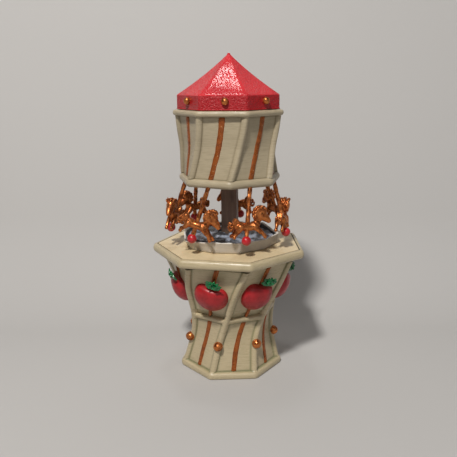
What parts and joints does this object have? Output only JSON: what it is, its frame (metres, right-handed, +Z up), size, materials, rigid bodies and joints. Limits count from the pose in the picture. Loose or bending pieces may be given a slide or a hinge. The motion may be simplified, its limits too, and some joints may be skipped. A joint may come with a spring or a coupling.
{
  "type": "carousel music box",
  "caption": "Seven-sided twisted pedestal music box with a wind-up movement that turns a roofed carousel of leaping horses on slanted poles above an apple-studded base.",
  "frame": {"origin": "the middle of the object's box, at the level of the foot's underside, which is the surface that the object stands on; the turning axis is parallel to +Z and passes 2.6 mm to the right of it, because a seven-sided rim's box is not centred on its axis", "axes": "+Z up, parallel to the turning axis; the front faces -Y; +X is to the right as seen from the front"},
  "size_m": [0.1146, 0.117, 0.24],
  "materials": {
    "cream": "hand-painted satin cream over 3-D print layers",
    "deck": "hand-painted satin warm cream",
    "canopy": "hand-painted satin beige over 3-D print layers",
    "red_roof": "glossy red paint with a fine glittery grain",
    "copper": "metallic copper paint",
    "apple_red": "satin red paint",
    "leaf_green": "glossy green paint",
    "ball_red": "satin red paint",
    "basin_white": "brushed off-white paint",
    "rock_grey": "dark slate paint with blue-grey swirls",
    "column_grey": "dark grey-brown paint, vertical brush strokes",
    "steel": "plain steel",
    "brass": "machined brass",
    "shelf": "unpainted grey print"
  },
  "bodies": {
    "pedestal": {"base_shell": "cream", "deck_lid": "deck", "shaft_bush": "brass", "basin": "basin_white", "basin_rocks": "rock_grey", "apple_1": "apple_red", "apple_2": "apple_red", "apple_3": "apple_red", "apple_4": "apple_red", "apple_5": "apple_red", "apple_6": "apple_red", "apple_7": "apple_red", "leaf_1": "leaf_green", "leaf_2": "leaf_green", "leaf_3": "leaf_green", "leaf_4": "leaf_green", "leaf_5": "leaf_green", "leaf_6": "leaf_green", "leaf_7": "leaf_green", "movement_shelf": "shelf", "bedplate": "steel", "bedplate_screw_1": "steel", "bedplate_screw_2": "steel", "barrel_bridge": "brass", "comb_block": "brass", "comb": "steel", "comb_screw_1": "steel", "comb_screw_2": "steel", "governor_bracket": "brass", "cylinder_bracket": "brass"},
    "carousel": {"spring_barrel": "brass", "column": "column_grey", "canopy_drum": "canopy", "roof": "red_roof", "pole_1": "copper", "pole_2": "copper", "pole_3": "copper", "pole_4": "copper", "pole_5": "copper", "pole_6": "copper", "pole_7": "copper", "horse_1": "copper", "horse_2": "copper", "horse_3": "copper", "horse_4": "copper", "horse_5": "copper", "horse_6": "copper", "horse_7": "copper", "red_ball_1": "ball_red", "red_ball_2": "ball_red", "red_ball_3": "ball_red", "red_ball_4": "ball_red", "red_ball_5": "ball_red", "red_ball_6": "ball_red", "red_ball_7": "ball_red"},
    "cylinder": {"music_cylinder": "brass"},
    "governor_shaft": {"governor_gear": "brass"},
    "fan": {"governor_fan": "brass"},
    "winding": {"winding_stem": "steel", "winding_key": "steel"}
  },
  "joints": [
    {"name": "carousel_spin", "type": "hinge", "parent": "pedestal", "child": "carousel", "pos_m": [0.00264, -0.00034, 0.0984], "axis": [0, 0, 1], "continuous": true},
    {"name": "cylinder_spin", "type": "hinge", "parent": "pedestal", "child": "cylinder", "pos_m": [0.02264, -0.00034, 0.07157], "axis": [1, 0, 0], "continuous": true},
    {"name": "governor_spin", "type": "hinge", "parent": "pedestal", "child": "governor_shaft", "pos_m": [0.02264, 0.01046, 0.07157], "axis": [1, 0, 0], "continuous": true},
    {"name": "fan_spin", "type": "hinge", "parent": "pedestal", "child": "fan", "pos_m": [0.02064, 0.01568, 0.07157], "axis": [0, 0, 1], "continuous": true},
    {"name": "winding_turn", "type": "hinge", "parent": "pedestal", "child": "winding", "pos_m": [0.00264, -0.00034, 0.03], "axis": [0, 0, 1], "range_deg": [0, 1440]}
  ],
  "couplings": [
    {"joint": "cylinder_spin", "follows": "carousel_spin", "ratio": 3},
    {"joint": "governor_spin", "follows": "carousel_spin", "ratio": -4.5},
    {"joint": "fan_spin", "follows": "carousel_spin", "ratio": 63}
  ]
}
